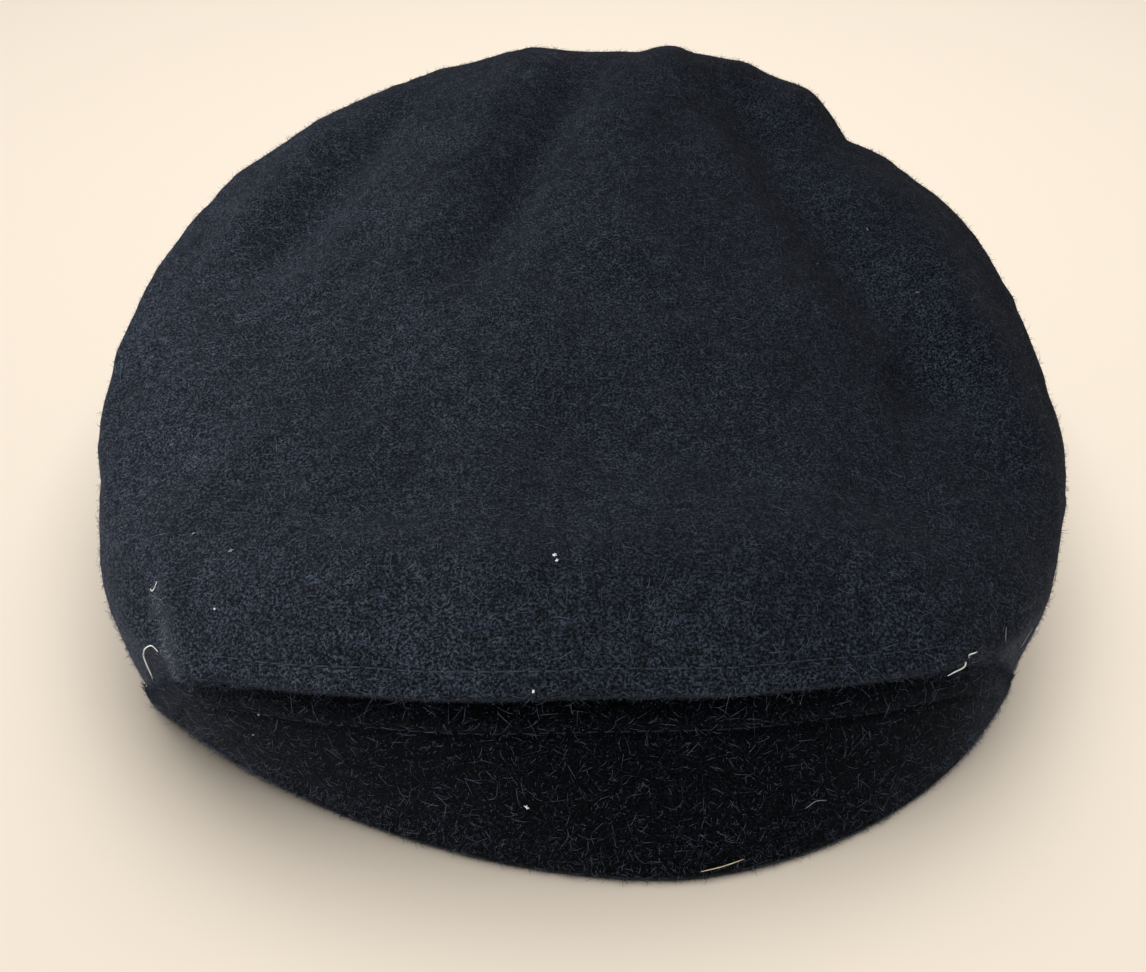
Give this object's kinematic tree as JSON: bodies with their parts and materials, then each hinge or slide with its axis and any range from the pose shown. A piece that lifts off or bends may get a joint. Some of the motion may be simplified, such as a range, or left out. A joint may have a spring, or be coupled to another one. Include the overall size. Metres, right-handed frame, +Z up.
{
  "type": "wool flat cap",
  "caption": "Soft navy wool flat cap with a slouched, gently folded crown and a steep cloth-covered peak; hollow and open below for a head.",
  "frame": {"origin": "middle of the underside of the cap's box, on the surface that it rests on", "axes": "+Z up, the peak towards -Y, the back of the crown towards +Y"},
  "size_m": [0.2446, 0.2624, 0.0896],
  "materials": {
    "wool": "thick felted wool with a short fuzzy nap, matt"
  },
  "bodies": {
    "root": {"crown": "wool", "peak": "wool"}
  },
  "joints": []
}
